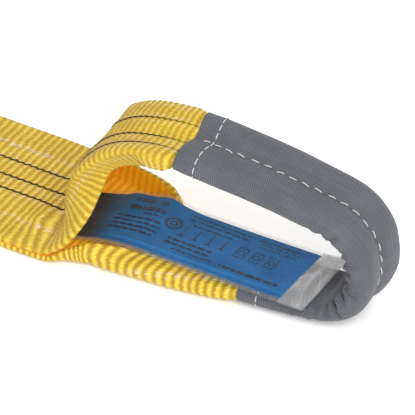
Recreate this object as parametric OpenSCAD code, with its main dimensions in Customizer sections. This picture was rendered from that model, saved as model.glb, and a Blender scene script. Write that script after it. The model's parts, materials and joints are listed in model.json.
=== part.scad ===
// Two-ply flat webbing sling, 3 t, with two folded and sleeved eyes.
// Millimetres, +Z up. X runs along the sling, -Y is the near selvage.
// Origin: middle of the sewn body, on its underside.

/* [Body] */
// Length of the sewn two-ply body between the two crotches
body_length = 560; // [520:10:1400]
// Width of the webbing, 30 mm per tonne
web_width = 90; // [86:1:94]
// Thickness of one ply of webbing
ply = 3; // [2.6:0.1:3.2]
// Length of each body end that bends apart from the middle
end_length = 96; // [92:1:110]
// Length of the sewn block that closes each body half
block_length = 45; // [36:9:63]

/* [Eye] */
// Height of the open eye above the floor
eye_height = 81; // [79:1:86]
// Reach of the eye beyond the crotch
eye_reach = 180; // [178:1:210]
// Outer radius of the eye tip
tip_radius = 38; // [37:0.5:38.5]
// Outer radius of the bend over the crotch
shoulder_radius = 36; // [34:0.5:37]
// Lean of the rising strand from the floor
rise_angle = 70; // [66:1:74]
// Width of the webbing once it is folded in three
fold_width = 36; // [34:0.5:38]
// Depth of the folded webbing
fold_depth = 10; // [9.5:0.5:10.5]

/* [Sleeve] */
// Wall of the woven protective sleeve
sleeve_wall = 1.5; // [1.2:0.1:1.8]
// Distance from the crotch to the upper end of the sleeve
sleeve_upper = 64; // [60:1:72]
// Distance from the crotch to the lower end of the sleeve
sleeve_lower = 104; // [100:1:112]
// Inset of the cross seams from the sleeve ends
hem_inset = 10; // [8:0.5:14]
// Diameter of the sewing thread
thread = 1; // [0.8:0.1:1.2]

/* [Label] */
// Length of the label card
card_length = 114; // [100:1:116]
// Width of the label card
card_width = 42; // [34:1:44]
// Clear margin of the film pocket around the card
film_margin = 3; // [2:0.5:3]
// Length of the flat empty film tail beyond the card
film_tail = 8; // [4:1:9]

/* [Hidden] */
$fn = 96;
gap = 0.1;
half = body_length / 2;
stack = 2 * ply;
edge = web_width / 2;
fold_x = half - end_length;

// Tracer yarns and sewing
tracer_offsets = [15.5, 2.8, -7.5];
tracer_width = 1.6;
tracer_rise = 0.3;
seam_offset = edge - 18;
stitch = 6.5;
pitch = 9;
block_rows = [-40, -33, -21, 9, 21, 33, 40];
block_columns = round(block_length / pitch);

// Side profile of the eye, measured from the crotch
tip_x = eye_reach - tip_radius;
tip_z = tip_radius;
top_x = 45;
top_z = eye_height - shoulder_radius;
span = sqrt(pow(tip_x - top_x, 2) + pow(tip_z - top_z, 2));
fall = atan2(top_z - tip_z, tip_x - top_x)
  + asin((shoulder_radius - tip_radius) / span);
rise_x = top_x - shoulder_radius * sin(rise_angle);
rise_z = top_z + shoulder_radius * cos(rise_angle);
foot_radius = 12;
foot_x = rise_x - (rise_z - stack) / tan(rise_angle)
  - foot_radius * tan(rise_angle / 2);
top_run = sqrt(pow(span, 2)
  - pow(shoulder_radius - tip_radius, 2));
sleeve_depth = fold_depth + 2 * sleeve_wall;
sleeve_width = fold_width + 2 * sleeve_wall;
bearing_relief = 0.3;
channel_depth = 12;
channel_start = 8;
channel_end = 48;

// Colours
yellow = [0.93, 0.72, 0.16];
black = [0.06, 0.06, 0.06];
grey = [0.36, 0.38, 0.42];
white = [0.92, 0.92, 0.9];
blue = [0.06, 0.33, 0.62];
clear = [0.82, 0.88, 0.92, 0.5];

// ---------- Helpers ----------

// Stands a side profile up and gives it a width across the sling.
module across(width, y = 0) {
  translate([0, y + width / 2, 0])
    rotate([90, 0, 0])
      linear_extrude(width)
        children();
}

// Moves eye geometry from the crotch of end A into the sling.
module at_crotch() {
  translate([half, 0, 0])
    children();
}

// Points along an arc.
function arc(centre, radius, from, to, steps) = [
  for (i = [0 : steps])
    let (angle = from + (to - from) * i / steps)
      centre + radius * [cos(angle), sin(angle)]
];

function backwards(points) = [
  for (i = [len(points) - 1 : -1 : 0])
    points[i]
];

// Height of the straight top run at x, a depth below its outer face.
function top_height(x, depth) =
  let (r = shoulder_radius - depth)
    top_z + r * cos(fall) - (x - top_x - r * sin(fall)) * tan(fall);

// Path over the rise, a depth below the outer face of the strap.
function rise_path(depth, from_x, to_x) = concat(
  [[from_x, stack - depth]],
  arc([foot_x, stack + foot_radius], foot_radius + depth,
    -90, rise_angle - 90, 10),
  arc([top_x, top_z], shoulder_radius - depth,
    90 + rise_angle, 90 - fall, 18),
  [[to_x, top_height(to_x, depth)]]
);

// Path around the tip, a depth below the outer face of the sleeve.
function tip_path(depth, from_x, to_x) = concat(
  [[from_x, top_height(from_x, depth)]],
  arc([tip_x, tip_z], tip_radius - depth, 90 - fall, -90, 48),
  [[to_x, depth]]
);

// Strip of the rise between two depths.
module rise_band(near_face, deep_face) {
  start = foot_x - 1;
  polygon(concat(
    rise_path(near_face, start, sleeve_upper),
    backwards(rise_path(deep_face, start, sleeve_upper))
  ));
}

// Strip around the tip between two depths.
module tip_band(near_face, deep_face, from_x, to_x) {
  polygon(concat(
    tip_path(near_face, from_x, to_x),
    backwards(tip_path(deep_face, from_x, to_x))
  ));
}

// Straight row of stitches along X, starting at the origin.
module stitch_row(count) {
  for (i = [0 : count - 1])
    translate([i * pitch, -thread / 2, 0])
      cube([stitch, thread, thread / 2]);
}

// ---------- Sewn body ----------

// One ply of a body half; the far half carries the rounded bend.
module half_ply(z) {
  start = stack / 2 + gap;
  translate([start, -edge, z])
    cube([fold_x - 2 * start, web_width, ply]);
}

module bend_ply(z) {
  start = stack / 2 + gap;
  translate([0, -edge, z])
    cube([fold_x - start, web_width, ply]);
  intersection() {
    bend_nose();
    translate([-stack, -edge, z])
      cube([stack, web_width, ply]);
  }
}

module bend_nose() {
  across(web_width)
    translate([0, stack / 2])
      circle(stack / 2);
}

module upper_ply_half_a() {
  color(yellow)
    half_ply(ply);
}

module lower_ply_half_a() {
  color(yellow)
    half_ply(0);
}

module upper_ply_half_b() {
  color(yellow)
    mirror([1, 0, 0])
      bend_ply(ply);
}

module lower_ply_half_b() {
  color(yellow)
    mirror([1, 0, 0])
      bend_ply(0);
}

// Three woven tracer stripes on the upper face.
module body_tracers(from, to) {
  for (y = tracer_offsets)
    translate([from, y - tracer_width / 2, stack])
      cube([to - from, tracer_width, tracer_rise]);
}

module tracers_half_a() {
  color(black)
    body_tracers(stack, fold_x - stack);
}

module tracers_half_b() {
  color(black)
    mirror([1, 0, 0])
      body_tracers(stack, fold_x - stack);
}

// Long seam that joins the two plies.
module body_seam(y, from, to) {
  translate([from, y, stack])
    stitch_row(floor((to - from) / pitch));
}

module near_seam_half_a() {
  color(white)
    body_seam(-seam_offset, stack, fold_x - stack);
}

module far_seam_half_a() {
  color(white)
    body_seam(seam_offset, stack, fold_x - stack);
}

module near_seam_half_b() {
  color(white)
    mirror([1, 0, 0])
      body_seam(-seam_offset, stack, fold_x - stack);
}

module far_seam_half_b() {
  color(white)
    mirror([1, 0, 0])
      body_seam(seam_offset, stack, fold_x - stack);
}

// Block of parallel stitch rows that closes a body half.
module block_stitch() {
  start = fold_x - stack - block_columns * pitch;
  for (y = block_rows)
    translate([start, y, stack])
      stitch_row(block_columns);
}

module block_stitch_a() {
  color(yellow)
    block_stitch();
}

module block_stitch_b() {
  color(yellow)
    mirror([1, 0, 0])
      block_stitch();
}

// ---------- Body end and eye ----------

// Front view of the rising strand, narrowing from flat to folded.
module rise_outline(inset) {
  wide = edge - inset;
  slim = fold_width / 2 + 1 - inset;
  polygon([
    [-wide, 0],
    [-wide, channel_start],
    [-slim, channel_end],
    [-slim, 2 * eye_height],
    [slim, 2 * eye_height],
    [slim, channel_end],
    [wide, channel_start],
    [wide, 0]
  ]);
}

module rise_solid(inset) {
  translate([foot_x - 2, 0, 0])
    rotate([90, 0, 90])
      linear_extrude(2 * eye_reach)
        rise_outline(inset);
}

// Rising strand: flat web with both edges turned inwards.
module rising_strand() {
  intersection() {
    across(web_width)
      rise_band(0, ply);
    rise_solid(0);
  }
  difference() {
    intersection() {
      across(web_width)
        rise_band(ply / 2, channel_depth);
      rise_solid(0);
    }
    rise_solid(ply);
    translate([-eye_reach, -web_width, -1])
      cube([2 * eye_reach, 2 * web_width, stack + 3]);
  }
}

// Plan view of the floor strand, narrowing towards the sleeve.
module floor_outline(inset) {
  slim = fold_width / 2 - inset;
  polygon([
    [0, -edge + inset],
    [60, -31 + inset],
    [sleeve_lower, -slim],
    [sleeve_lower, slim],
    [60, 18 - inset],
    [22, 36 - inset],
    [0, edge - inset]
  ]);
}

// Floor strand: flat web with both edges folded up and over.
module floor_strand() {
  linear_extrude(ply)
    floor_outline(0);
  difference() {
    translate([0, 0, ply / 2])
      linear_extrude(fold_depth - ply / 2)
        floor_outline(0);
    linear_extrude(fold_depth + 1)
      floor_outline(ply);
    translate([-1, -web_width, -1])
      cube([20, 2 * web_width, 4 * fold_depth]);
  }
  difference() {
    translate([0, 0, fold_depth - ply])
      linear_extrude(ply)
        floor_outline(ply / 2);
    translate([0, 0, -1])
      linear_extrude(2 * fold_depth)
        floor_outline(13);
    translate([-1, -web_width, -1])
      cube([36, 2 * web_width, 4 * fold_depth]);
  }
}

// Webbing folded in three inside the sleeve.
module folded_core() {
  across(fold_width)
    tip_band(sleeve_wall, sleeve_wall + fold_depth,
      sleeve_upper - 1, sleeve_lower - 1);
}

// Both plies of a body end and the eye they form, as one strap.
module webbing_end() {
  translate([fold_x, -edge, 0])
    cube([end_length, web_width, ply]);
  translate([fold_x, -edge, ply])
    cube([end_length + foot_x, web_width, ply]);
  translate([fold_x, 0, 0])
    bend_nose();
  at_crotch() {
    rising_strand();
    floor_strand();
    folded_core();
  }
}

module webbing_end_a() {
  color(yellow)
    webbing_end();
}

module webbing_end_b() {
  color(yellow)
    mirror([1, 0, 0])
      webbing_end();
}

// Tracers of a body end, running on over the rise to the sleeve.
module end_tracers() {
  body_tracers(fold_x + stack, half + foot_x - 1);
  at_crotch()
    for (y = tracer_offsets)
      across(tracer_width, y)
        rise_band(-tracer_rise, 0);
}

module tracers_end_a() {
  color(black)
    end_tracers();
}

module tracers_end_b() {
  color(black)
    mirror([1, 0, 0])
      end_tracers();
}

module end_seam(y) {
  body_seam(y, fold_x + stack, half + foot_x);
}

module near_seam_end_a() {
  color(white)
    end_seam(-seam_offset);
}

module far_seam_end_a() {
  color(white)
    end_seam(seam_offset);
}

module near_seam_end_b() {
  color(white)
    mirror([1, 0, 0])
      end_seam(-seam_offset);
}

module far_seam_end_b() {
  color(white)
    mirror([1, 0, 0])
      end_seam(seam_offset);
}

// ---------- Sleeve ----------

// Tube around the folded webbing, rounded where the eye bears on a hook.
module sleeve() {
  at_crotch()
    difference() {
      across(sleeve_width)
        tip_band(0, sleeve_depth + bearing_relief,
          sleeve_upper, sleeve_lower);
      folded_core();
      across(2 * sleeve_width)
        translate([tip_x, tip_z])
          circle(tip_radius - sleeve_depth);
    }
}

module sleeve_a() {
  color(grey)
    sleeve();
}

module sleeve_b() {
  color(grey)
    mirror([1, 0, 0])
      sleeve();
}

// Places a stitch on the outer face at a distance from the shoulder.
module on_top_run(distance) {
  translate([top_x, 0, top_z])
    rotate([0, fall, 0])
      translate([distance, 0, shoulder_radius + thread / 2])
        children();
}

// Places a stitch on the outer face of the tip at an angle.
module on_tip(angle) {
  translate([tip_x, 0, tip_z])
    rotate([0, 90 - angle, 0])
      translate([0, 0, tip_radius + thread / 2])
        children();
}

module stitch_x() {
  translate([-stitch / 2, 0, 0])
    rotate([0, 90, 0])
      cylinder(h = stitch, d = thread);
}

module stitch_y() {
  translate([0, stitch / 2, 0])
    rotate([90, 0, 0])
      cylinder(h = stitch, d = thread);
}

// Lock stitch along the middle of the sleeve.
module sleeve_seam() {
  first = sleeve_upper - top_x + 16;
  count = floor((top_run - first) / pitch);
  step = pitch * 180 / (PI * tip_radius);
  turns = floor(150 / step);
  at_crotch() {
    for (i = [0 : count - 1])
      on_top_run(first + i * pitch)
        stitch_x();
    for (i = [0 : turns - 1])
      on_tip(90 - fall - (i + 0.5) * step)
        stitch_x();
  }
}

module sleeve_seam_a() {
  color(white)
    sleeve_seam();
}

module sleeve_seam_b() {
  color(white)
    mirror([1, 0, 0])
      sleeve_seam();
}

// Cross seam near the upper end of the sleeve.
module upper_hem() {
  at_crotch()
    for (y = [-13 : pitch : 14])
      on_top_run(sleeve_upper - top_x + hem_inset)
        translate([0, y, 0])
          stitch_y();
}

module upper_hem_a() {
  color(white)
    upper_hem();
}

module upper_hem_b() {
  color(white)
    mirror([1, 0, 0])
      upper_hem();
}

// Cross seam near the lower end, seen on the sides of the sleeve.
module lower_hem() {
  side = sleeve_width / 2 + thread / 2;
  at_crotch()
    for (y = [-side, side])
      translate([sleeve_lower + hem_inset, y, 2])
        cylinder(h = sleeve_depth - 4, d = thread);
}

module lower_hem_a() {
  color(white)
    lower_hem();
}

module lower_hem_b() {
  color(white)
    mirror([1, 0, 0])
      lower_hem();
}

// ---------- Label ----------

label_z = sleeve_depth + bearing_relief + 0.2;
film_height = 1.4;
film_width = card_width + 2 * film_margin;
label_root = 2;
label_y = -2;
card_start = label_root + 6;

// Sewn root of the pocket, rising out of the crotch.
module label_tab() {
  color(clear)
    at_crotch()
      translate([0, label_y - film_width / 2, 0]) {
        translate([-6, 0, ply])
          cube([7, film_width, 0.8]);
        translate([0.2, 0, ply])
          cube([0.8, film_width, label_z - ply + film_height]);
      }
}

module label_stitch() {
  color(white)
    at_crotch()
      for (i = [0 : 4])
        translate([-1.5, label_y - 21 + i * pitch, ply + 0.8])
          cube([thread, stitch, thread / 2]);
}

module label_card() {
  color(blue)
    at_crotch()
      translate([card_start, label_y - card_width / 2, label_z + 0.4])
        cube([card_length, card_width, 0.6]);
}

// Clear pocket around the card with an empty tail.
module label_film() {
  film_length = card_start - label_root + card_length + film_tail;
  color(clear)
    at_crotch()
      difference() {
        union() {
          translate([label_root, label_y - film_width / 2, label_z])
            cube([film_length, film_width, film_height]);
          across(film_width, label_y)
            translate([label_root, label_z + film_height / 2])
              circle(film_height / 2);
        }
        translate([card_start, label_y - card_width / 2, label_z + 0.4])
          cube([card_length, card_width, 0.6]);
      }
}

// ---------- Parts ----------

upper_ply_half_a();
lower_ply_half_a();
tracers_half_a();
near_seam_half_a();
far_seam_half_a();
block_stitch_a();
upper_ply_half_b();
lower_ply_half_b();
tracers_half_b();
near_seam_half_b();
far_seam_half_b();
block_stitch_b();
webbing_end_a();
tracers_end_a();
near_seam_end_a();
far_seam_end_a();
sleeve_a();
sleeve_seam_a();
upper_hem_a();
lower_hem_a();
webbing_end_b();
tracers_end_b();
near_seam_end_b();
far_seam_end_b();
sleeve_b();
sleeve_seam_b();
upper_hem_b();
lower_hem_b();
label_tab();
label_stitch();
label_card();
label_film();
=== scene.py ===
"""Looks of a two-ply webbing sling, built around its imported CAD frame."""

import json
import math
import random

import bpy
import numpy as np
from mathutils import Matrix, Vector


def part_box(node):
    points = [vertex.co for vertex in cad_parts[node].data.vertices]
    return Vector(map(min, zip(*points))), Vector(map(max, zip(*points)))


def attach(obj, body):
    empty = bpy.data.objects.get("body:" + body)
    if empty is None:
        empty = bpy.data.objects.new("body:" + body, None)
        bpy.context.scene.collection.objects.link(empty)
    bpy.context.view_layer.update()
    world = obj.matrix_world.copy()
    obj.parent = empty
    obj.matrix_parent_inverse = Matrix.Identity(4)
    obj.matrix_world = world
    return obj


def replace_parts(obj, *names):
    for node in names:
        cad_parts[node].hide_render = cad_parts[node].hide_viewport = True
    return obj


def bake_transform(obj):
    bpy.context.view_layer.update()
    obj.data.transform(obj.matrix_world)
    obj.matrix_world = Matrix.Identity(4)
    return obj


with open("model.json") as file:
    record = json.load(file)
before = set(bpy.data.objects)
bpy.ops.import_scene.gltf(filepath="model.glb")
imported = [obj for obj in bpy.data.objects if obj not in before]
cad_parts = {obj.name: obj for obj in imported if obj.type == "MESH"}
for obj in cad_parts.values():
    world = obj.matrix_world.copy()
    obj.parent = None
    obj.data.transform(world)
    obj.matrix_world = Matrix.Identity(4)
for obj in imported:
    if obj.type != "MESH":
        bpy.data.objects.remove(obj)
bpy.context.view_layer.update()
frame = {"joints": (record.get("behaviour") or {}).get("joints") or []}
JOINTS = {j["name"]: j for j in frame["joints"]}

# ---------------------------------------------------------------- sizes, mm

MM = 0.001
FOLD = JOINTS["end_a_bend"]["pos_m"][0] / MM
CROTCH = JOINTS["label_flap"]["pos_m"][0] / MM - 2.0
HALF_WIDTH = 45.0
PLY = 3.0
STACK = 2 * PLY
SPLIT = FOLD / 2  # where the middle strap meets the side straps
RIB = 4.0  # rib pitch of the weave
RIB_HEIGHT = 0.5
TRACERS = (15.5, 2.8, -7.5)
SEAMS = (-27.0, 27.0)

# The label, along and across the eye, from the crotch.
LABEL_Y = (-24.0, 18.0)
CARD_START = 0.5
CARD_END = 130.0
FILM_END = 145.0


# ---------------------------------------------------------------- numbers

def smooth(t):
    t = np.clip(t, 0.0, 1.0)
    return t * t * (3 - 2 * t)


def spline(knots, values, at):
    """Natural cubic spline through rows of values."""
    k, v = np.asarray(knots, float), np.asarray(values, float)
    n, h = len(k), np.diff(np.asarray(knots, float))
    a = np.eye(n)
    b = np.zeros((n, v.shape[1]))
    for i in range(1, n - 1):
        a[i, i - 1 : i + 2] = h[i - 1], 2 * (h[i - 1] + h[i]), h[i]
        b[i] = 6 * ((v[i + 1] - v[i]) / h[i] - (v[i] - v[i - 1]) / h[i - 1])
    m = np.linalg.solve(a, b)
    i = np.clip(np.searchsorted(k, at, side="right") - 1, 0, n - 2)
    x = (at - k[i])[:, None]
    hi = h[i][:, None]
    slope = (v[i + 1] - v[i]) / hi - hi * (2 * m[i] + m[i + 1]) / 6
    return v[i] + slope * x + m[i] * x**2 / 2 + (m[i + 1] - m[i]) * x**3 / (6 * hi)


def track(knots, values, at):
    """Curve through rows of values that never overshoots them."""
    k, v = np.asarray(knots, float), np.asarray(values, float)
    h = np.diff(k)[:, None]
    d = np.diff(v, axis=0) / h
    m = np.zeros_like(v)
    same = d[:-1] * d[1:] > 0
    with np.errstate(divide="ignore", invalid="ignore"):
        mean = 2 / (1 / d[:-1] + 1 / d[1:])
    m[1:-1] = np.where(same, mean, 0)
    i = np.clip(np.searchsorted(k, at, side="right") - 1, 0, len(k) - 2)
    t = ((at - k[i]) / h[i, 0])[:, None]
    hi = h[i]
    return (
        (2 * t**3 - 3 * t**2 + 1) * v[i]
        + (t**3 - 2 * t**2 + t) * hi * m[i]
        + (3 * t**2 - 2 * t**3) * v[i + 1]
        + (t**3 - t**2) * hi * m[i + 1]
    )


def unit(v):
    return v / np.linalg.norm(v, axis=-1, keepdims=True)


def ripple(x, seed, octaves=3):
    """Smooth repeatable noise of one variable, about -1 to 1."""
    local = np.random.default_rng(seed)
    total = np.zeros_like(x, float)
    for i in range(octaves):
        for _ in range(3):
            f = 2**i * local.uniform(0.7, 1.4)
            total += np.sin(f * x + local.uniform(0, 6.3)) / 2**i
    return total / 4


class Grid:
    """A surface sampled over length s and width w, in millimetres."""

    def __init__(self, s, w, points):
        self.s, self.w, self.points = s, w, points

    def at(self, s, w):
        s, w = np.broadcast_arrays(np.asarray(s, float), np.asarray(w, float))
        i = np.clip(np.searchsorted(self.s, s) - 1, 0, len(self.s) - 2)
        j = np.clip(np.searchsorted(self.w, w) - 1, 0, len(self.w) - 2)
        a = ((s - self.s[i]) / (self.s[i + 1] - self.s[i]))[..., None]
        b = ((w - self.w[j]) / (self.w[j + 1] - self.w[j]))[..., None]
        p = self.points
        low = p[i, j] * (1 - a) + p[i + 1, j] * a
        high = p[i, j + 1] * (1 - a) + p[i + 1, j + 1] * a
        return low * (1 - b) + high * b

    def normal(self, s, w, step=1.2):
        along = self.at(s + step, w) - self.at(s - step, w)
        aside = self.at(s, w + step) - self.at(s, w - step)
        return unit(np.cross(along, aside))

    def normals(self):
        along = np.gradient(self.points, axis=0)
        aside = np.gradient(self.points, axis=1)
        return unit(np.cross(along, aside))


# ---------------------------------------------------------------- strap shape

# Rows of the side strap, from the middle of body half A up to the sleeve,
# measured from the crotch.
# x, y, z, yaw, roll, near fold (place, angle, run, end angle), far fold,
# how far the near selvage runs ahead, depth of the valley along the middle
SIDE_ROWS = [
    (SPLIT - CROTCH, 8, 6, 0, 0, -45, 0, 13, 0, 45, 0, 13, 0, 0, 0),
    (-80, 8, 6, 0, 0, -45, 0, 13, 0, 45, 0, 13, 0, 0, 0),
    (-50, 8, 6, 3, 0, -26, 0, 13, 0, 45, 0, 13, 0, 0, 0),
    (-30, 8, 6.1, 8, 0, -24, 0, 13, 0, 44, 0, 13, 0, 0, 0),
    (-17, 8, 6.4, 13, 0, -24, 0, 13, 0, 42, -4, 13, -4, 0, 0),
    (-10, 7, 9.5, 17, -1, -24, 0, 13, 0, 42, -15, 13, -15, 0, 0),
    (-7, 6, 19, 17, -1, -23, 5, 14, 5, 38, -35, 13, -35, 0, 0),
    (-3.5, 4.5, 30, 14, -1, -21, 20, 14, 20, 34, -60, 13, -70, 0, 0),
    (1, 2.5, 40, 10, 0, -19.3, 40, 14, 45, 31, -75, 12, -105, 0, 0),
    (7, 0, 50, 7, 0, -17.6, 60, 14, 90, 31, -80, 10, -135, 0, 0),
    (14.5, -2.5, 59.5, 6, 0, -16.4, 74, 13, 125, 31, -84, 8, -155, 0, 0.4),
    (24, -4, 68, 5, 0, -16.2, 80, 13, 150, 30.6, -85, 8, -165, 0, 1),
    (36, -5, 74.5, 5, 0, -17.2, 84, 11, 165, 30.2, -86, 6, -178, 0, 2),
    (48, -5.5, 78.5, 5, 2, -18.6, 86, 10, 172, 29.8, -88, 6, -178, 0, 3),
    (60, -5.8, 80.8, 4, 7, -19.6, 88, 9, 178, 29.2, -88, 6, -178, 0, 3.5),
]
# Near selvage over the rise: row it belongs to, x, y, z.
SELVAGE_ROWS = [
    (3, -29, -45, 6.2), (4, -13, -45, 6.2), (5, -1, -45, 6.9), (6, 9, -44.5, 12.5),
    (7, 17, -40, 22), (8, 21.8, -34, 32), (9, 25, -28.5, 43), (10, 28.5, -24.5, 53),
    (11, 35, -22, 58.5), (12, 43, -20.5, 61), (13, 52, -20.5, 63.3),
]
# Floor strand, from the sleeve back to the body.
FLOOR_ROWS = [
    (98, -7, 0.8, 0, 0, -12.5, 88, 6, 178, 26, -88, 4, -178, 0, 0),
    (82, -7, 0.4, 0, 0, -15.6, 86, 7.5, 178, 27, -88, 4, -178, 0, 0),
    (66, -6, 0.3, 0, 0, -19.5, 85, 8.3, 178, 28, -87, 4, -178, 0, 0),
    (52, -3, 0.3, 0, 0, -25, 85, 8.3, 178, 28, -86, 4, -178, 0, 0),
    (45, -1, 0.3, 0, 0, -28.5, 84, 9, 150, 28.5, -86, 4, -178, 0, 0),
    (40, 0.6, 0.3, 0, 0, -30.5, 83, 9.2, 130, 29, -85, 7.5, -148, 0, 0),
    (35, 2.4, 0.3, 0, 0, -33, 82, 9.5, 108, 30, -84, 10, -115, 0, 0),
    (20, 6, 0.3, 0, 0, -37.5, 74, 12, 78, 32, -78, 13, -84, 0, 0),
    (5, 7.5, 0.2, 0, 0, -44, 32, 13, 32, 34, -64, 13, -64, 0, 0),
    (-12, 8, 0, 0, 0, -45, 8, 13, 8, 36, -20, 13, -20, 0, 0),
    (-50, 8, 0, 0, 0, -45, 0, 13, 0, 45, 0, 13, 0, 0, 0),
    (SPLIT - CROTCH, 8, 0, 0, 0, -45, 0, 13, 0, 45, 0, 13, 0, 0, 0),
]
# Rows of the sleeve along its seam line, measured from the crotch.
# x, y, z, yaw, roll, thickness share
SLEEVE_ROWS = [
    (66.5, -5.2, 79.8, 4, 11, 0.95),
    (74, -4.9, 79.1, 4, 12, 1.0),
    (89, -4.0, 77.5, 4, 12, 1.0),
    (107, -2.6, 75.0, 4, 12, 1.0),
    (125, -1.0, 71.6, 3, 11, 1.0),
    (143, 0.4, 67.6, 0, 9, 1.0),
    (157.0, 1.4, 63.6, 0, 6, 1.0),
    (166.0, 2.0, 56.6, 0, 4, 1.0),
    (171.6, 2.4, 48.5, 0, 2, 1.0),
    (173.8, 2.6, 39.0, 0, 0, 1.0),
    (174.2, 2.4, 29.0, 0, 0, 1.0),
    (172.2, 1.8, 20.5, 0, 0, 1.0),
    (167.4, 0.8, 12.0, 0, 0, 1.0),
    (158.5, 0.0, 5.8, 0, 0, 0.92),
    (147, -1.4, 3.2, 0, 0, 0.78),
    (130, -3.4, 2.5, 0, 0, 0.78),
    (114, -5.4, 2.4, 0, 0, 0.78),
    (103, -7.0, 2.4, 0, 0, 0.78),
]
# Folds of the strap where the sleeve covers it.
COVERED = (-8.5, 86, 4, 178, 24.5, -86, 4, -178, 0, 3)
SINK = -0.4  # from the seam line of the sleeve down to the strap
ANCHOR = 8.0  # the line across the width that the rows place
FOLD_SOFTNESS = 7.0
FAR_HINGE = 27.0
FAR_LEAN = 6.0
FAR_LIFT = 2.5
RIDGE = -19.5  # fold line of the near edge over the rise
VALLEY_PLACE = -1.0
VALLEY_WIDTH = 11.0
GATHER = 0.095  # how much the valley draws the cloth together, per mm of depth


def strap_widths():
    w = np.linspace(-HALF_WIDTH, HALF_WIDTH, 61)
    return w


def fold_angles(w, near, far):
    """Angle of the cloth at each place across the width, in degrees."""
    place, first, run, last = near
    a = first * smooth((place - w) / FOLD_SOFTNESS + 0.5)
    a += (last - first) * smooth((place - run - w) / FOLD_SOFTNESS + 0.5)
    place, first, run, last = far
    b = first * smooth((w - place) / FOLD_SOFTNESS + 0.5)
    b += (last - first) * smooth((w - place - run) / FOLD_SOFTNESS + 0.5)
    return a + b


def section(w, near, far, valley):
    """Places across the strap: sideways and outwards, from the anchor line."""
    t = np.radians(fold_angles(w, near, far))
    mid = (t[1:] + t[:-1]) / 2
    sag = np.exp(-(((w - VALLEY_PLACE) / VALLEY_WIDTH) ** 2))
    step = np.diff(w) * (1 - GATHER * valley * (sag[1:] + sag[:-1]) / 2)
    y = np.concatenate([[0], np.cumsum(np.cos(mid) * step)])
    h = np.concatenate([[0], np.cumsum(np.sin(mid) * step)])
    return y - np.interp(ANCHOR, w, y), h - np.interp(ANCHOR, w, h) - valley * sag


def frames(points, yaw, roll):
    """Tangent, sideways and outward directions along a path."""
    tangent = unit(np.gradient(points, axis=0))
    a = np.radians(yaw)
    aside = np.stack([-np.sin(a), np.cos(a), np.zeros_like(a)], 1)
    aside = unit(aside - tangent * np.sum(aside * tangent, 1, keepdims=True))
    out = unit(np.cross(tangent, aside))
    r = np.radians(roll)[:, None]
    side = aside * np.cos(r) + out * np.sin(r)
    return tangent, side, out * np.cos(r) - aside * np.sin(r)


def arc_length(points):
    return np.concatenate([[0], np.cumsum(np.linalg.norm(np.diff(points, axis=0), axis=1))])


def covered_rows():
    """Rows of the strap inside the sleeve, sunk below its seam line."""
    rows = np.array(SLEEVE_ROWS, float)[1:-1]
    _, _, out = frames(rows[:, :3], rows[:, 3], rows[:, 4])
    points = rows[:, :3] - out * SINK
    folds = np.tile(COVERED, (len(rows), 1))
    return np.concatenate([points, rows[:, 3:5], folds], 1)


def side_strap():
    """Outer face of the side strap and the lengths of its rows."""
    rows = np.concatenate([SIDE_ROWS, covered_rows(), FLOOR_ROWS])
    key = arc_length(rows[:, :3])
    fine = np.linspace(0, key[-1], 6000)
    dense = spline(key, rows[:, :3], fine)
    length = arc_length(dense)
    row_s = np.interp(key, fine, length)
    step = RIB / 5
    s = np.arange(0, length[-1] + step / 2, step)
    points = np.stack([np.interp(s, length, dense[:, i]) for i in range(3)], 1)
    state = track(row_s, rows[:, 3:], s)
    tangent, side, out = frames(points, state[:, 0], state[:, 1])
    w = strap_widths()
    grid = np.zeros((len(s), len(w), 3))
    for i in range(len(s)):
        y, h = section(w, state[i, 2:6], state[i, 6:10], state[i, 11])
        lead = state[i, 10] * smooth((state[i, 2] - w) / 25)
        grid[i] = points[i] + side[i] * y[:, None] + out[i] * h[:, None]
        grid[i] += tangent[i] * lead[:, None]
    grid[:, :, 0] += CROTCH
    turn_far_edge(grid, s, w, row_s)
    lean_far_side(grid, s, w, row_s)
    rest_on_ply(grid[: np.searchsorted(s, row_s[7])])
    turn_edge(grid, s, w, row_s)
    return Grid(s, w, grid), row_s


def turn_far_edge(grid, s, w, row_s):
    """Turns the far edge over evenly, from the flat strap to the rising strand."""
    hinge = int(np.argmin(np.abs(w - FAR_HINGE)))
    first, last = np.searchsorted(s, (row_s[3], row_s[9]))
    flat = np.diff(grid[first, hinge:], axis=0)
    turned = np.diff(grid[last, hinge:], axis=0)
    width = np.linalg.norm(flat, axis=1)[:, None]
    u = smooth((s[first:last] - s[first]) / (s[last] - s[first]))[:, None, None]
    steps = unit(flat * (1 - u) + turned * u) * width
    grid[first:last, hinge + 1 :] = grid[first:last, hinge, None] + np.cumsum(steps, axis=1)


def lean_far_side(grid, s, w, row_s):
    """Steepens the far side of the rising strand and squares its shoulder."""
    far = smooth((w - 2) / 30)
    rise = smooth((s - row_s[5] + 4) / 14) * smooth((row_s[10] + 2 - s) / 18)
    shoulder = smooth((s - row_s[9]) / 14) * smooth((row_s[14] - s) / 24)
    grid[:, :, 0] += FAR_LEAN * rise[:, None] * far
    grid[:, :, 2] += FAR_LIFT * shoulder[:, None] * far


def rest_on_ply(grid):
    """Keeps the start of the rising strand above the ply it lies on."""
    low, z = STACK - 0.4, grid[:, :, 2]
    grid[:, :, 2] = (z + low + np.sqrt((z - low) ** 2 + 0.09)) / 2


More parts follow.
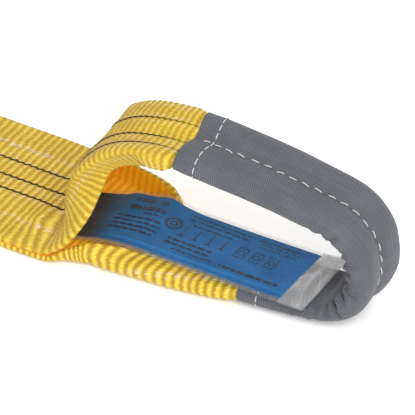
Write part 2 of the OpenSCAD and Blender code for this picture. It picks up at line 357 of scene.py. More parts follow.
def turn_edge(grid, s, w, row_s):
    """Lays the near edge of the rising strand along its selvage."""
    rows = np.array(SELVAGE_ROWS, float)
    key = row_s[rows[:, 0].astype(int)]
    edge = track(key, rows[:, 1:], np.clip(s, key[0], key[-1])) + (CROTCH, 0, 0)
    share = smooth((s - key[0]) / 12) * smooth((key[-1] + 6 - s) / 14)
    ridge = int(np.argmin(np.abs(w - RIDGE)))
    for j in range(ridge):
        along = (w[ridge] - w[j]) / (w[ridge] - w[0])
        place = grid[:, ridge] * (1 - along) + edge * along
        grid[:, j] += share[:, None] * (place - grid[:, j])


def rib_wave(s, w):
    """Height of the woven ribs, 0 in the groove and 1 on the crest."""
    wave = 0.5 + 0.5 * np.cos(2 * math.pi * s / RIB)
    edge = smooth((HALF_WIDTH - np.abs(w)) / 2.0)
    return np.sqrt(wave) * (0.35 + 0.65 * edge)


# ---------------------------------------------------------------- mesh tools

def mesh_object(name, verts, faces, uv, material, face_slot=None, flip=False):
    mesh = bpy.data.meshes.new(name)
    verts = np.array(verts, float) * MM
    if flip:
        verts[:, 0] *= -1
        faces = faces[:, ::-1]
    mesh.from_pydata(verts.tolist(), [], faces.tolist())
    materials = material if isinstance(material, (list, tuple)) else [material]
    for m in materials:
        mesh.materials.append(m)
    layer = mesh.uv_layers.new(name="UVMap")
    loops = np.zeros(len(mesh.loops), np.int32)
    mesh.loops.foreach_get("vertex_index", loops)
    layer.data.foreach_set("uv", (np.asarray(uv, float) * MM)[loops].ravel())
    if face_slot is not None:
        mesh.polygons.foreach_set("material_index", np.asarray(face_slot, np.int32))
    mesh.polygons.foreach_set("use_smooth", np.ones(len(mesh.polygons), bool))
    mesh.update()
    obj = bpy.data.objects.new(name, mesh)
    bpy.context.scene.collection.objects.link(obj)
    return obj


def grid_faces(rows, columns, start=0, close=False):
    i, j = np.meshgrid(np.arange(rows - 1), np.arange(columns if close else columns - 1), indexing="ij")
    k = (j + 1) % columns
    a = start + i * columns + j
    b = start + (i + 1) * columns + j
    c = start + (i + 1) * columns + k
    d = start + i * columns + k
    return np.stack([a, b, c, d], -1).reshape(-1, 4)


def strap_mesh(name, grid, material, thickness=PLY, flip=False):
    """A woven strap: ribbed outer and inner faces joined at the selvages."""
    s, w = np.meshgrid(grid.s, grid.w, indexing="ij")
    normal = grid.normals()
    rib = (rib_wave(s, w) - 0.8)[..., None] * RIB_HEIGHT
    outer = grid.points + normal * rib
    inner = grid.points - normal * (thickness + rib)
    rows, columns = s.shape
    mid = grid.points[:, [0, -1]] - normal[:, [0, -1]] * thickness / 2
    bulge = unit(grid.points[:, [0, -1]] - grid.points[:, [1, -2]])
    mid = mid + bulge * (0.35 + 0.25 * np.cos(2 * math.pi * grid.s / RIB))[:, None, None]
    loop = np.concatenate([outer, mid[:, 1:], inner[:, ::-1], mid[:, :1]], 1)
    uv_w = np.concatenate([w, w[:, -1:] + 1.5, w[:, ::-1], w[:, :1] - 1.5], 1)
    uv_s = np.repeat(s[:, :1], loop.shape[1], 1)
    faces = grid_faces(rows, loop.shape[1], close=True)
    column = np.tile(np.arange(loop.shape[1]), rows - 1)
    # Slot 1, the inner faces, takes the orange copy with painted glow.
    slots = ((column > columns) & (column < 2 * columns)).astype(int)
    return mesh_object(
        name,
        loop.reshape(-1, 3),
        faces,
        np.stack([uv_s.ravel(), uv_w.ravel()], 1),
        material,
        slots,
        flip,
    )


def tube_mesh(name, lines, radius, material, sides=6, flip=False, flat=1.0):
    """Threads along polylines of (points, outward directions)."""
    verts, faces, uv, start = [], [], [], 0
    angle = np.linspace(0, 2 * math.pi, sides, endpoint=False)
    for points, outward in lines:
        points = np.asarray(points)
        n = len(points)
        tangent = unit(np.gradient(points, axis=0))
        up = unit(outward - tangent * np.sum(outward * tangent, 1, keepdims=True))
        side = np.cross(tangent, up)
        t = np.linspace(-1, 1, n)
        r = radius * np.clip(1 - np.abs(t) ** 6, 0.25, 1)[:, None, None]
        ring = (
            points[:, None]
            + r * np.cos(angle)[None, :, None] * side[:, None]
            + r * flat * np.sin(angle)[None, :, None] * up[:, None]
        )
        verts.append(ring.reshape(-1, 3))
        faces.append(grid_faces(n, sides, start, close=True))
        s = arc_length(points)
        uv.append(np.stack([np.repeat(s, sides), np.tile(angle, n)], 1))
        start += n * sides
    return mesh_object(
        name, np.concatenate(verts), np.concatenate(faces), np.concatenate(uv), material, None, flip
    )


# ---------------------------------------------------------------- materials

class Shader:
    """Small helper that builds a node material one step at a time."""

    def __init__(self, name):
        self.material = bpy.data.materials.new(name)
        self.material.use_nodes = True
        self.tree = self.material.node_tree
        self.tree.nodes.clear()
        self.out = self.node("ShaderNodeOutputMaterial")

    def node(self, kind, **inputs):
        node = self.tree.nodes.new(kind)
        for key, value in inputs.items():
            self.put(node, key.replace("_", " "), value)
        return node

    def put(self, node, key, value):
        socket = node.inputs[key] if not isinstance(key, int) else node.inputs[key]
        if isinstance(value, bpy.types.NodeSocket):
            self.tree.links.new(value, socket)
        else:
            socket.default_value = value

    def math(self, operation, a, b=0.0, c=0.0, clamp=False):
        node = self.tree.nodes.new("ShaderNodeMath")
        node.operation = operation
        node.use_clamp = clamp
        for i, value in enumerate((a, b, c)):
            self.put(node, i, value)
        return node.outputs[0]

    def add(self, a, b):
        return self.math("ADD", a, b)

    def mul(self, a, b, clamp=False):
        return self.math("MULTIPLY", a, b, clamp=clamp)

    def cosine(self, x, period):
        """0.5 + 0.5 cos of x over a period."""
        turned = self.math("COSINE", self.mul(x, 2 * math.pi / period))
        return self.math("MULTIPLY_ADD", turned, 0.5, 0.5)

    def ramp(self, value, *stops):
        node = self.tree.nodes.new("ShaderNodeValToRGB")
        self.put(node, 0, value)
        elements = node.color_ramp.elements
        while len(elements) < len(stops):
            elements.new(0.5)
        for element, (place, colour) in zip(elements, stops):
            element.position = place
            element.color = (*colour, 1)
        return node.outputs[0]

    def window(self, value, low, high):
        """0 at low, 1 at high, smooth between."""
        node = self.tree.nodes.new("ShaderNodeMapRange")
        node.interpolation_type = "SMOOTHSTEP"
        for key, v in (("Value", value), ("From Min", low), ("From Max", high)):
            self.put(node, key, v)
        return node.outputs[0]

    def mix(self, factor, a, b, mode="MIX"):
        node = self.tree.nodes.new("ShaderNodeMix")
        node.data_type = "RGBA"
        node.blend_type = mode
        for key, v in ((0, factor), (6, a), (7, b)):
            if isinstance(v, tuple) and len(v) == 3:
                v = (*v, 1)
            self.put(node, key, v)
        return node.outputs[2]

    def strap_place(self):
        """Length and width on the cloth, in millimetres."""
        uv = self.node("ShaderNodeUVMap").outputs[0]
        split = self.node("ShaderNodeSeparateXYZ", Vector=uv)
        return self.mul(split.outputs[0], 1000.0), self.mul(split.outputs[1], 1000.0)

    def noise(self, s, w, s_size, w_size, detail=2.0):
        at = self.node("ShaderNodeCombineXYZ")
        self.put(at, 0, self.mul(s, 1.0 / s_size))
        self.put(at, 1, self.mul(w, 1.0 / w_size))
        return self.node(
            "ShaderNodeTexNoise", Vector=at.outputs[0], Scale=1.0, Detail=detail
        ).outputs[0]

    def finish(self, colour, roughness, height=None, depth=0.0004, **extra):
        bsdf = self.node("ShaderNodeBsdfPrincipled")
        self.put(bsdf, "Base Color", colour)
        self.put(bsdf, "Roughness", roughness)
        for key, value in extra.items():
            self.put(bsdf, key.replace("_", " "), value)
        if height is not None:
            bump = self.node("ShaderNodeBump", Height=height, Distance=depth)
            self.put(bsdf, "Normal", bump.outputs[0])
        self.tree.links.new(bsdf.outputs[0], self.out.inputs[0])
        return self.material


def webbing_material(name, painted_groove_shade, body, crest, painted_highlight, pale=1.0, painted_glow=0.0):
    """Ribbed weave: serrated ribs of warp floats, with pale stray yarns, painted shade in the grooves, a painted
    highlight on one side of each crest and an optional painted glow.
    """
    m = Shader(name)
    s, w = m.strap_place()
    yarn_width = 1.5
    zig = m.math("PINGPONG", w, yarn_width)
    wander = m.noise(s, w, 30.0, 6.0, 1.0)
    shift = m.add(m.mul(zig, 0.22), m.mul(wander, 1.2))
    rib = m.cosine(m.add(s, shift), RIB)
    # Rib wave shifted along the length: painted highlight on one side of each crest, painted shade in the
    # grooves.
    painted_rib_light = m.cosine(m.add(m.add(s, shift), 0.5), RIB)
    yarn = m.cosine(w, yarn_width)
    float_noise = m.noise(s, w, 2.2, 1.3, 1.0)
    broad = m.noise(s, w, 22.0, 9.0, 2.0)
    tone = m.add(m.mul(painted_rib_light, 0.60), m.mul(yarn, 0.08))
    tone = m.add(tone, m.mul(m.add(float_noise, -0.5), 0.55))
    tone = m.add(tone, m.mul(m.add(broad, -0.5), 0.35))
    # The ramp runs from the painted shade of the groove to the painted highlight at the crest tip.
    colour = m.ramp(tone, (0.05, painted_groove_shade), (0.33, body), (0.58, crest), (0.85, painted_highlight))
    stray = None
    for centre, width, amount in (
        (27.0, 3.2, 1.0), (-27.0, 3.0, 1.0), (17.4, 1.4, 0.9), (13.2, 1.2, 0.6),
        (0.6, 1.5, 0.9), (-5.6, 1.2, 0.5), (-10.0, 2.2, 1.0), (-1.8, 3.0, 0.5),
    ):
        near = m.math("ABSOLUTE", m.add(w, -centre))
        band = m.mul(m.window(near, width, width * 0.3), amount)
        stray = band if stray is None else m.math("MAXIMUM", stray, band)
    patch = m.noise(s, w, 6.0, 1.1, 2.0)
    patch = m.window(patch, 0.45, 0.60)
    mask = m.mul(m.mul(stray, patch), m.window(rib, 0.15, 0.6))
    colour = m.mix(m.mul(mask, 0.7 * pale), colour, (0.80, 0.66, 0.52))
    height = m.add(m.mul(rib, 0.55), m.mul(m.mul(yarn, rib), 0.3))
    height = m.add(height, m.mul(float_noise, 0.25))
    return m.finish(
        colour, 0.62, height, 0.0007, Sheen_Weight=0.10, Sheen_Roughness=0.4,
        # Emission here is a painted glow, not a lamp.
        Emission_Color=colour, Emission_Strength=painted_glow,
    )


def sleeve_material():
    """Tight plain weave of grey yarns with a faint diagonal."""
    m = Shader("sleeve_cloth")
    s, w = m.strap_place()
    along = m.cosine(m.add(s, m.mul(w, 0.25)), 1.15)
    across = m.cosine(m.add(w, m.mul(s, -0.12)), 0.95)
    grain = m.noise(s, w, 0.7, 0.5, 2.0)
    streak = m.noise(s, w, 26.0, 1.6, 2.0)
    broad = m.noise(s, w, 18.0, 14.0, 2.0)
    tone = m.add(m.mul(m.mul(along, across), 0.55), m.mul(grain, 0.5))
    tone = m.add(tone, m.mul(m.add(streak, -0.5), 0.28))
    tone = m.add(tone, m.mul(m.add(broad, -0.5), 0.22))
    colour = m.ramp(
        tone, (0.1, (0.050, 0.054, 0.064)), (0.42, (0.095, 0.101, 0.115)), (0.85, (0.20, 0.21, 0.23))
    )
    height = m.add(m.mul(m.mul(along, across), 0.8), m.mul(grain, 0.4))
    return m.finish(colour, 0.7, height, 0.0003, Sheen_Weight=0.12, Sheen_Roughness=0.35)


def thread_material(name, colour, dark, sheen=0.2):
    """Twisted sewing thread."""
    m = Shader(name)
    s, w = m.strap_place()
    twist = m.cosine(m.add(s, m.mul(w, 0.35)), 0.9)
    fuzz = m.noise(s, w, 0.6, 0.6, 2.0)
    tone = m.add(m.mul(twist, 0.6), m.mul(fuzz, 0.4))
    return m.finish(m.ramp(tone, (0.1, dark), (0.7, colour)), 0.6, twist, 0.0002, Sheen_Weight=sheen)


def card_material():
    """Printed blue card with slight unevenness, a lighter edge line and a painted shadow towards the crotch."""
    m = Shader("label_blue")
    s, w = m.strap_place()
    cloud = m.noise(s, w, 24.0, 14.0, 3.0)
    grain = m.noise(s, w, 0.8, 0.8, 2.0)
    tone = m.add(m.mul(cloud, 0.7), m.mul(grain, 0.3))
    colour = m.ramp(tone, (0.3, (0.010, 0.085, 0.24)), (0.7, (0.020, 0.145, 0.37)))
    near = m.math("ABSOLUTE", m.add(w, 19.6))
    colour = m.mix(m.window(near, 1.1, 0.7), colour, (0.014, 0.16, 0.43))
    # Painted shadow: the card turns dark grey towards the crotch, where the upper strand shades it.
    painted_crotch_shadow = m.window(m.add(s, m.mul(w, 0.32)), 21.0, 5.0)
    colour = m.mix(m.mul(painted_crotch_shadow, 0.9), colour, (0.030, 0.034, 0.030))
    return m.finish(colour, 0.45, grain, 0.0001, Specular_IOR_Level=0.12)


def print_material():
    """Dark print, slightly uneven as on worn card."""
    m = Shader("label_ink")
    s, w = m.strap_place()
    worn = m.noise(s, w, 1.2, 1.2, 3.0)
    return m.finish(m.ramp(worn, (0.35, (0.002, 0.006, 0.018)), (0.85, (0.010, 0.035, 0.09))), 0.5, worn, 0.00005)


def film_material(name):
    """Clear film: nearly unseen over the card, glossy and milky beyond it."""
    m = Shader(name)
    s, w = m.strap_place()
    scuff = m.noise(s, w, 6.0, 15.0, 1.5)
    crease = m.window(m.math("ABSOLUTE", m.add(m.noise(s, w, 14.0, 40.0, 1.0), -0.5)), 0.02, 0.0)
    off_side = m.window(m.math("ABSOLUTE", m.add(w, 3.0)), 20.6, 21.4)
    off_end = m.window(s, CARD_END - 0.4, CARD_END + 0.4)
    beyond = m.math("MAXIMUM", off_side, off_end)
    bump = m.node("ShaderNodeBump", Height=scuff, Distance=0.0004)
    gloss = m.node("ShaderNodeBsdfPrincipled")
    m.put(gloss, "Base Color", m.ramp(scuff, (0.3, (0.42, 0.43, 0.44)), (0.7, (0.56, 0.57, 0.58))))
    m.put(gloss, "Roughness", 0.22)
    m.put(gloss, "Normal", bump.outputs[0])
    see = m.node("ShaderNodeBsdfTransparent")
    mix = m.node("ShaderNodeMixShader")
    milky = m.add(m.mul(m.window(scuff, 0.35, 0.7), 0.16), m.mul(crease, 0.22))
    milky = m.add(m.mul(off_end, m.add(milky, 0.20)), m.mul(beyond, 0.09))
    m.put(mix, 0, m.add(milky, m.mul(scuff, 0.012)))
    m.tree.links.new(see.outputs[0], mix.inputs[1])
    m.tree.links.new(gloss.outputs[0], mix.inputs[2])
    m.tree.links.new(mix.outputs[0], m.out.inputs[0])
    return m.material


# The second material is an orange, glowing copy for the inner faces: painted light standing in for light shining
# through the cloth and bouncing inside the eye.
WEBBING = [
    webbing_material("webbing_outer", (0.42, 0.25, 0.009), (0.62, 0.395, 0.014), (0.77, 0.54, 0.032), (0.93, 0.79, 0.22)),
    webbing_material("webbing_inner_painted_glow", (0.82, 0.40, 0.002), (0.85, 0.43, 0.002), (0.88, 0.46, 0.003), (0.92, 0.53, 0.01), pale=0.1, painted_glow=0.13),
]
BLACK_YARN = thread_material("tracer_black", (0.010, 0.009, 0.007), (0.003, 0.003, 0.003), 0.0)
PALE_THREAD = thread_material("seam_pale", (0.74, 0.62, 0.42), (0.46, 0.33, 0.16))
YELLOW_THREAD = thread_material("block_yellow", (0.80, 0.56, 0.07), (0.42, 0.25, 0.02))
WHITE_THREAD = thread_material("sleeve_white", (0.78, 0.78, 0.76), (0.42, 0.42, 0.42))
SLEEVE = sleeve_material()
CARD = card_material()
INK = print_material()
FILM = film_material("label_film_clear")


# ---------------------------------------------------------------- straps

SIDE_GRID, SIDE_S = side_strap()


def middle_grid(z, facing):
    """Flat middle strap; facing is 1 for the upper ply, -1 for the lower."""
    s = np.arange(0, 2 * SPLIT + RIB / 10, RIB / 5)
    w = strap_widths()
    grid = np.zeros((len(s), len(w), 3))
    grid[:, :, 0] = (s - SPLIT)[:, None] * facing
    grid[:, :, 1] = w[None, :]
    grid[:, :, 2] = z
    return Grid(s, w, grid)


def bend_middle(obj):
    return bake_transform(obj)


def bend_side(obj):
    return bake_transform(obj)


UPPER_MIDDLE = middle_grid(STACK, 1)
LOWER_MIDDLE = middle_grid(0.0, -1)


def build_straps():
    upper = strap_mesh("strap_middle_upper", UPPER_MIDDLE, WEBBING)
    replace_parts(bend_middle(upper), "upper_ply_half_a", "upper_ply_half_b")
    lower = strap_mesh("strap_middle_lower", LOWER_MIDDLE, WEBBING)
    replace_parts(bend_middle(lower), "lower_ply_half_a", "lower_ply_half_b")
    for sign, side in ((1, "a"), (-1, "b")):
        strap = strap_mesh("strap_side_" + side, SIDE_GRID, WEBBING, flip=sign < 0)
        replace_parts(bend_side(strap), "webbing_end_" + side)


def tracer_line(grid, place, s_from, s_to, radius):
    """A woven stripe that rides over each rib and dips between ribs."""
    s = np.arange(s_from, s_to, 0.5)
    crest = rib_wave(s, np.full_like(s, place))
    wander = 0.25 * np.sin(2 * math.pi * s / RIB + 0.8) + 0.2 * ripple(s / 14, 3)
    normal = grid.normal(s, place + wander)
    lift = (crest - 0.8) * RIB_HEIGHT + 0.05 + (1 - crest) * 0.30
    return grid.at(s, place + wander) + normal * lift[:, None], normal


def build_tracers():
    top_end = SIDE_S[14] + 9
    lines = [tracer_line(UPPER_MIDDLE, y, 0.1, 2 * SPLIT - 0.1, 0.7) for y in TRACERS]
    middle = tube_mesh("tracers_middle", lines, 0.55, BLACK_YARN, flat=0.6)
    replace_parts(bend_middle(middle), "tracers_half_a", "tracers_half_b")
    for sign, side in ((1, "a"), (-1, "b")):
        lines = [tracer_line(SIDE_GRID, y, 0.1, top_end, 0.7) for y in TRACERS]
        tracers = tube_mesh("tracers_side_" + side, lines, 0.55, BLACK_YARN, flat=0.6, flip=sign < 0)
        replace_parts(bend_side(tracers), "tracers_end_" + side)


def stitch_lines(grid, w, s_from, s_to, pitch=9.0, length=6.5, lift=0.25, seed=1):
    """Dashes of thread along a line on a surface, ends sinking in."""
    local = np.random.default_rng(seed)
    lines = []
    for start in np.arange(s_from, s_to - length, pitch):
        start = start + local.uniform(-0.4, 0.4)
        s = start + np.linspace(0, length, 9)
        t = np.linspace(-1, 1, 9)
        sway = w + local.uniform(-0.25, 0.25) + 0.15 * np.sin(s)
        normal = grid.normal(s, sway)
        height = lift - 0.9 * np.abs(t) ** 5
        lines.append((grid.at(s, sway) + normal * height[:, None], normal))
    return lines


def build_seams():
    flat_end = SIDE_S[3]
    for w, name in zip(SEAMS, ("near", "far")):
        lines = stitch_lines(UPPER_MIDDLE, w, 1, 2 * SPLIT, lift=0.05, seed=4)
        middle = tube_mesh("seam_middle_" + name, lines, 0.42, PALE_THREAD)
        nodes = [f"{name}_seam_half_{side}" for side in "ab"]
        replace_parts(bend_middle(middle), *nodes)
        for sign, side in ((1, "a"), (-1, "b")):
            lines = stitch_lines(SIDE_GRID, w, 1, flat_end, lift=0.05, seed=5)
            seam = tube_mesh(f"seam_side_{name}_{side}", lines, 0.42, PALE_THREAD, flip=sign < 0)
            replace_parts(bend_side(seam), f"{name}_seam_end_{side}")


def build_blocks():
    """Parallel rows of block stitching on each body half."""
    low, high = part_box("block_stitch_a")
    s_low = low.x / MM - SPLIT
    s_high = high.x / MM - SPLIT
    rows = (-40, -33, -21, 9, 21, 33, 40)
    for sign, side in ((1, "a"), (-1, "b")):
        lines = []
        for i, w in enumerate(rows):
            lines += stitch_lines(SIDE_GRID, w, s_low, s_high, 6.0, 4.6, 0.2, 20 + i)
        for s in (s_low, s_high):
            for w in np.arange(-41, 40, 5.0):
                at = w + np.linspace(0, 3.8, 7)
                normal = SIDE_GRID.normal(np.full(7, s), at)
                height = 0.25 - 0.9 * np.abs(np.linspace(-1, 1, 7)) ** 5
                lines.append((SIDE_GRID.at(s, at) + normal * height[:, None], normal))
        block = tube_mesh("block_rows_" + side, lines, 0.45, YELLOW_THREAD, flip=sign < 0)
        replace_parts(bend_side(block), "block_stitch_" + side)


# ---------------------------------------------------------------- sleeve

# Section of the sleeve around the folded strap: sideways, outwards.
SLEEVE_SECTION = [
    (0, 0), (3.5, 1.3), (9, 2.6), (14.5, 2.2), (18.6, -0.4), (20.2, -4.2),
    (18.8, -8.0), (13, -10.2), (5, -10.8), (-5, -10.8), (-13, -10.2),
    (-18.8, -8.0), (-20.2, -4.2), (-18.6, -0.4), (-14.5, 2.2), (-9, 2.6), (-3.5, 1.3),
]


def closed_curve(points, count):
    """Evenly spaced places on a smooth closed curve."""
    p = np.array(points + points[:1], float)
    wrap = np.concatenate([p[-4:-1], p, p[1:4]])
    key = arc_length(wrap)
    fine = np.linspace(key[3], key[-4], 2000)
    dense = spline(key, wrap, fine)
    length = arc_length(dense)
    at = np.linspace(0, length[-1], count, endpoint=False)
    curve = np.stack([np.interp(at, length, dense[:, i]) for i in range(2)], 1)
    return curve, at, length[-1]


def sleeve_grid():
    rows = np.array(SLEEVE_ROWS, float)
    key = arc_length(rows[:, :3])
    fine = np.linspace(0, key[-1], 4000)
    dense = spline(key, rows[:, :3], fine)
    length = arc_length(dense)
    row_s = np.interp(key, fine, length)
    s = np.linspace(0, length[-1], 260)
    points = np.stack([np.interp(s, length, dense[:, i]) for i in range(3)], 1)
    state = track(row_s, rows[:, 3:], s)
    tangent, side, out = frames(points, state[:, 0], state[:, 1])
    curve, around, perimeter = closed_curve(SLEEVE_SECTION, 120)
    y, h = curve[:, 0][None, :], curve[:, 1][None, :]
    share = state[:, 2][:, None]
    grid = (
        points[:, None]
        + side[:, None] * y[..., None]
        + out[:, None] * (h * share)[..., None]
    )
    lead = 2.5 * np.exp(-((y / 9) ** 2)) * smooth((h + 5) / 4) * smooth(1 - s[:, None] / 25)
    grid += tangent[:, None] * lead[..., None]
    grid[:, :, 0] += CROTCH
    return s, around, perimeter, grid, curve


def sleeve_wrinkles(s, around, perimeter, curve):
    """Outward push of the cloth: seam puckers, bend folds and slack."""
    ss, aa = np.meshgrid(s, around, indexing="ij")
    y = np.broadcast_to(curve[:, 0], ss.shape)
    h = np.broadcast_to(curve[:, 1], ss.shape)
    outer = smooth((h + 5) / 4)
    inner = smooth((-6.5 - h) / 3.0)
    pucker = 0.35 * np.cos(2 * math.pi * ss / 9.0) * np.exp(-np.abs(y) / 5) * outer
    slack = 0.35 * ripple(ss / 16 + np.cos(2 * math.pi * aa / perimeter) * 1.3, 11)
    bend = smooth((ss - s[-1] * 0.33) / 20) * smooth((s[-1] * 0.82 - ss) / 16)
    folds = ripple(ss / 1.7 + 0.5 * ripple(y / 6, 5), 8, 2)
    radial = 3.4 * bend * inner * folds
    side_folds = 1.6 * bend * ripple(ss / 1.9, 9, 2) * smooth((-y - 12) / 6) * smooth((1 - h) / 4)
    corner = smooth((ss - s[-1] * 0.60) / 14) * smooth((s[-1] * 0.88 - ss) / 12)
    crush = 2.4 * corner * ripple(ss / 1.3 + 0.8 * ripple(h / 4, 6), 12, 2)
    crush = crush * smooth((-y - 4) / 8) * smooth((1 - h) / 4) * smooth((h + 11) / 3)
    return pucker + slack + radial + side_folds + crush


def build_sleeves():
    s, around, perimeter, points, curve = sleeve_grid()
    normal = unit(
        np.cross(
            np.gradient(points, axis=0),
            np.roll(points, -1, 1) - np.roll(points, 1, 1),
        )
    )
    push = sleeve_wrinkles(s, around, perimeter, curve)
    outer = points + normal * push[..., None]
    inner = outer - normal * 1.2
    rows, columns = push.shape
    order = np.concatenate([inner[:8][::-1], outer, inner[-8:][::-1]])
    s_all = np.concatenate([s[:8][::-1], s, s[-8:][::-1]])
    uv = np.stack([np.repeat(s_all, columns), np.tile(around, len(s_all))], 1)
    faces = grid_faces(len(s_all), columns, close=True)
    seam = Grid(s, around[:2] * 1.0, outer[:, :2])
    half = columns // 2
    wide = np.concatenate([outer[:, -half:], outer[:, :half]], 1)
    place = np.concatenate([around[-half:] - perimeter, around[:half]])
    surface = Grid(s, place, wide)
    for sign, side in ((1, "a"), (-1, "b")):
        flip = sign < 0
        body = "end_" + side
        sleeve = mesh_object(
            "sleeve_cloth_" + side, order.reshape(-1, 3), faces, uv, SLEEVE, None, flip
        )
        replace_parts(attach(sleeve, body), "sleeve_" + side)
        lines = stitch_lines(surface, 0.0, 4, s[-1] - 24, 7.4, 5.2, 0.3, 31)
        stitches = tube_mesh("sleeve_lockstitch_" + side, lines, 0.36, WHITE_THREAD, flip=flip)
        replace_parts(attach(stitches, body), "sleeve_seam_" + side)
        for name, at in (("upper", 11.0), ("lower", s[-1] - 11.0)):
            lines = []
            for w in np.arange(-34, 31, 5.2):
                across = w + np.linspace(0, 4.4, 8)
                s_line = np.full(8, at) + 0.3 * np.sin(w)
                up = surface.normal(s_line, across)
                height = 0.3 - 0.9 * np.abs(np.linspace(-1, 1, 8)) ** 5
                lines.append((surface.at(s_line, across) + up * height[:, None], up))
            hem = tube_mesh(f"sleeve_hem_{name}_{side}", lines, 0.34, WHITE_THREAD, flip=flip)
            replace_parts(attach(hem, body), f"{name}_hem_{side}")


# ---------------------------------------------------------------- label

# Height of the label over the floor: x, near edge, far edge.
LABEL_ROWS = [
    (-6, 3.2, 3.2), (-2, 3.4, 3.4), (5, 5.2, 5.0), (12.5, 7.2, 7.2), (21.5, 9.6, 11.2),
    (30, 11.2, 12.6), (41, 12.2, 15.2), (50, 12.4, 13.2), (60, 12.3, 12.1), (86, 12.5, 12.2),
    (112, 12.5, 12.5), (130, 12.6, 12.8), (148, 13.0, 15.2),
]


def label_point(x, y, lift=0.0):
    """A place on the wavy label, measured from the crotch."""
    x, y = np.broadcast_arrays(np.asarray(x, float), np.asarray(y, float))
    rows = np.array(LABEL_ROWS)
    edges = track(rows[:, 0], rows[:, 1:], x.ravel()).reshape(*x.shape, 2)
    far = smooth((y - LABEL_Y[0]) / (LABEL_Y[1] - LABEL_Y[0]))
    z = edges[..., 0] * (1 - far) + edges[..., 1] * far + lift
    z = z + 0.25 * ripple(x / 22 + y / 40, 15, 2) * smooth(x / 20)
    return np.stack([x + CROTCH, y, z], -1)


def label_sheet(name, x, y, lift, material, thickness=0.3):
    xx, yy = np.meshgrid(x, y, indexing="ij")
    top = label_point(xx, yy, lift)
    bottom = label_point(xx, yy, lift - thickness)
    loop = np.concatenate([top, bottom[:, ::-1]], 1)
    rows = np.concatenate([loop], 0)
    uv_y = np.concatenate([yy, yy[:, ::-1]], 1)
    uv_x = np.concatenate([xx, xx], 1)
    faces = grid_faces(rows.shape[0], rows.shape[1], close=True)
    uv = np.stack([uv_x.ravel(), uv_y.ravel()], 1)
    return mesh_object(name, rows.reshape(-1, 3), faces, uv, material)


def ink_rect(x0, x1, y0, y1):
    n = max(2, int(abs(x1 - x0) / 2) + 1)
    xx, yy = np.meshgrid(np.linspace(x0, x1, n), [y0, y1], indexing="ij")
    return label_point(xx, yy, 0.12), xx, yy


def print_rects():
    """Blank bars, boxes and simple lift pictures in place of lettering."""
    local = random.Random(3)
    rects = []

    def bar(x0, x1, y, thick):
        rects.append((x0, x1, y - thick / 2, y + thick / 2))

    def words(x0, x1, y, thick):
        x = x0
        while x < x1 - 1:
            end = min(x1, x + local.uniform(1.6, 5.0))
            bar(x, end, y, thick)
            x = end + 0.9

    words(23, 35, 13.0, 3.0)
    words(38, 42, 12.8, 3.0)
    words(23, 45, 6.6, 3.2)
    words(33, 44, 2.6, 1.0)
    for y in (-1.8, -5.2, -8.6, -12.0):
        words(20, 47, y, 1.3)
    words(56, 92, 14.2, 1.1)
    words(56, 92, 11.2, 1.1)
    words(96, 122, 14.0, 1.0)
    for y in (11.4, 8.8):
        words(98, 121, y, 0.7)
    words(60, 84, 7.4, 1.0)
    for x in (58, 66, 74, 82):
        bar(x, x + 0.7, 1.0, 8.0)
        bar(x - 1.5, x + 2.2, -3.6, 0.8)
    words(88, 124, -15.4, 2.0)
    words(60, 84, -15.4, 1.2)
    for y in (-8.0, -11.6):
        words(54, 80, y, 1.6)
    for x in (90, 99, 108):
        bar(x, x + 6, 3.6, 0.6)
        bar(x, x + 6, -4.6, 0.6)
        bar(x, x + 0.6, -0.5, 8.0)
        bar(x + 5.6, x + 6.2, -0.5, 8.0)
    return rects


def ring_strip(cx, cy, radius, width, stretch=1.0):
    """A flat printed ring, as (inner, outer) points."""
    a = np.linspace(0, 2 * math.pi, 33)
    x = np.stack([cx + np.cos(a) * (radius - width) * stretch, cx + np.cos(a) * radius * stretch], 1)
    y = np.stack([cy + np.sin(a) * (radius - width), cy + np.sin(a) * radius], 1)
    return label_point(x, y, 0.12), x, y


def build_print():
    verts, faces, uv, start = [], [], [], 0
    patches = [ink_rect(*r) for r in print_rects()]
    patches += [ring_strip(51, 3.0, 4.6, 1.1), ring_strip(51, 3.0, 2.2, 1.0)]
    patches += [ring_strip(93 + 9 * i, -0.5, 2.0, 0.6) for i in range(3)]
    for points, xx, yy in patches:
        rows, columns = xx.shape
        verts.append(points.reshape(-1, 3))
        faces.append(grid_faces(rows, columns, start))
        uv.append(np.stack([xx.ravel(), yy.ravel()], 1))
        start += rows * columns
    ink = mesh_object(
        "label_print", np.concatenate(verts), np.concatenate(faces), np.concatenate(uv), INK
    )
    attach(ink, "label")


def build_label():
    x0, x1 = CARD_START, CARD_END
    y0, y1 = LABEL_Y
    card = label_sheet("label_card_sheet", np.linspace(x0, x1, 90), np.linspace(y0, y1, 24), 0.0, CARD)
    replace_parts(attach(card, "label"), "label_card")
    build_print()
    xs = np.linspace(2, FILM_END, 110)
    film = label_sheet("label_film_top", xs, np.linspace(y0 - 3, y1 + 2, 26), 0.5, FILM, 0.15)
    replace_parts(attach(film, "label"), "label_film")
    back = label_sheet("label_film_back", xs, np.linspace(y0 - 3, y1 + 2, 26), -0.5, FILM, 0.15)
    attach(back, "label")
    root = label_sheet("label_root", np.linspace(-3, 3, 12), np.linspace(y0 - 3, y1 - 0.5, 26), 0.2, CARD, 0.8)
    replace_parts(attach(root, "end_a"), "label_tab")
    lines = []
    for w in np.arange(y0, y1, 4.2):
        at = np.linspace(w, w + 3.2, 7)
        up = np.tile([0.0, 0.0, 1.0], (7, 1))
        height = 0.9 - 0.9 * np.abs(np.linspace(-1, 1, 7)) ** 5
        lines.append((label_point(np.full(7, -1.6), at) + up * height[:, None], up))
    stitches = tube_mesh("label_root_stitches", lines, 0.4, WHITE_THREAD)
    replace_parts(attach(stitches, "end_a"), "label_stitch")


# ---------------------------------------------------------------- stage

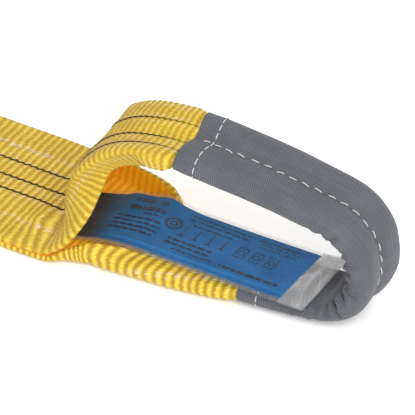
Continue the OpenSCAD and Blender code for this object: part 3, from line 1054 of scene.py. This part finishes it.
def build_stage():
    mesh = bpy.data.meshes.new("floor")
    r = 40.0
    mesh.from_pydata([(-r, -r, -0.0012), (r, -r, -0.0012), (r, r, -0.0012), (-r, r, -0.0012)], [], [(0, 1, 2, 3)])
    floor = bpy.data.objects.new("floor", mesh)
    bpy.context.scene.collection.objects.link(floor)
    paint = Shader("floor_white")
    mesh.materials.append(paint.finish(
        (0.98, 0.98, 0.98, 1), 0.9, Emission_Color=(1, 1, 1, 1), Emission_Strength=0.2
    ))

    world = bpy.data.worlds.new("studio")
    bpy.context.scene.world = world
    world.use_nodes = True
    background = world.node_tree.nodes["Background"]
    background.inputs[0].default_value = (1, 1, 1, 1)
    background.inputs[1].default_value = 0.85


def area_light(name, place, target, size, power):
    data = bpy.data.lights.new(name, "AREA")
    data.shape = "DISK"
    data.size = size
    data.energy = power
    light = bpy.data.objects.new(name, data)
    light.location = place
    light.rotation_euler = (Vector(target) - Vector(place)).to_track_quat("-Z", "Y").to_euler()
    bpy.context.scene.collection.objects.link(light)


def build_colours():
    """Plain display colours, as a product picture has them."""
    bpy.context.scene.view_settings.view_transform = "Standard"


def build_lights():
    eye = (CROTCH * MM + 0.08, 0, 0.03)
    area_light("key", (eye[0] + 0.9, -0.9, 1.3), eye, 0.9, 18)
    area_light("fill", (eye[0] - 1.2, -0.8, 1.2), eye, 1.4, 1)
    area_light("back", (eye[0] - 0.2, 1.3, 1.2), eye, 1.0, 1.5)


AZIMUTH, ELEVATION = 31.0, 36.5
DISTANCE = 10.0
FRAME_WIDTH = 213.0  # millimetres across the picture at the target


def build_camera():
    a, e = math.radians(AZIMUTH), math.radians(ELEVATION)
    back = Vector((math.sin(a) * math.cos(e), -math.cos(a) * math.cos(e), math.sin(e)))
    right = Vector((math.cos(a), math.sin(a), 0))
    up = back.cross(right)
    target = Vector((CROTCH * MM, 0, 0)) + right * 0.0623 + up * 0.0044
    data = bpy.data.cameras.new("camera")
    data.sensor_width = 36.0
    data.lens = 36.0 * DISTANCE / (FRAME_WIDTH * MM)
    data.clip_start, data.clip_end = 0.05, 50.0
    camera = bpy.data.objects.new("camera", data)
    camera.location = target + back * DISTANCE
    camera.rotation_euler = (-back).to_track_quat("-Z", "Y").to_euler()
    bpy.context.scene.collection.objects.link(camera)
    bpy.context.scene.camera = camera


build_straps()
build_tracers()
build_seams()
build_blocks()
build_sleeves()
build_label()
build_stage()
build_lights()
build_colours()
build_camera()
